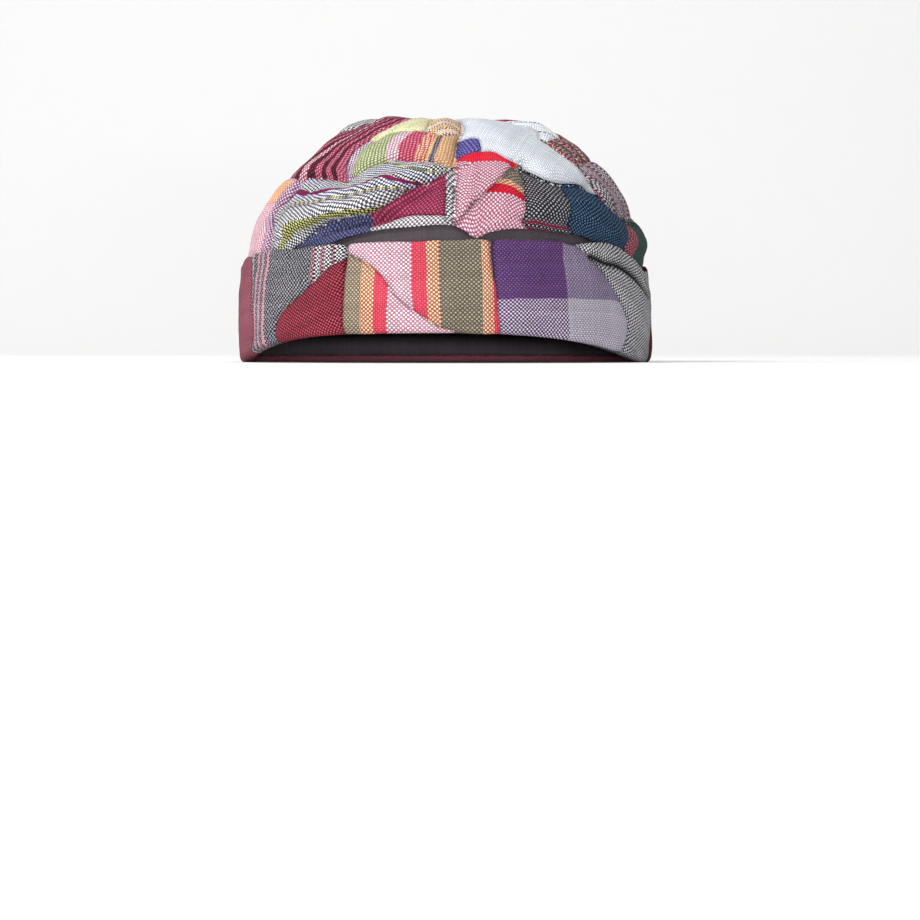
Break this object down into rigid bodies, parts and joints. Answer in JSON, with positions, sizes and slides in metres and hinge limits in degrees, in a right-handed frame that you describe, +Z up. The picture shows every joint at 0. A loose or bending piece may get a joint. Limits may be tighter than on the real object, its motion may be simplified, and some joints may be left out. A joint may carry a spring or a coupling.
{
  "type": "patchwork skullcap with a turned-up cuff",
  "caption": "Soft brimless cap of sewn woven patches: a slouching folded crown gathered onto a dark band inside a turned-up patchwork cuff.",
  "frame": {"origin": "middle of the cap's outline at the height of the surface that the cuff's fold rests on", "axes": "+Z up through the crown, -Y out of the front, +X to the right as seen from the front"},
  "size_m": [0.1886, 0.2144, 0.1117],
  "materials": {
    "crown_cloth": "matt plain-woven cotton patches in stripes and checks, red, pink, pale blue, navy, yellow, green and black and white",
    "band_cloth": "matt dark brown-grey cotton twill",
    "cuff_cloth": "matt coarse plain-woven cotton patches, striped in pink, red, orange and olive, with plum, maroon and grey checks"
  },
  "bodies": {
    "root": {"crown": "crown_cloth", "band": "band_cloth", "cuff": "cuff_cloth"}
  },
  "joints": []
}
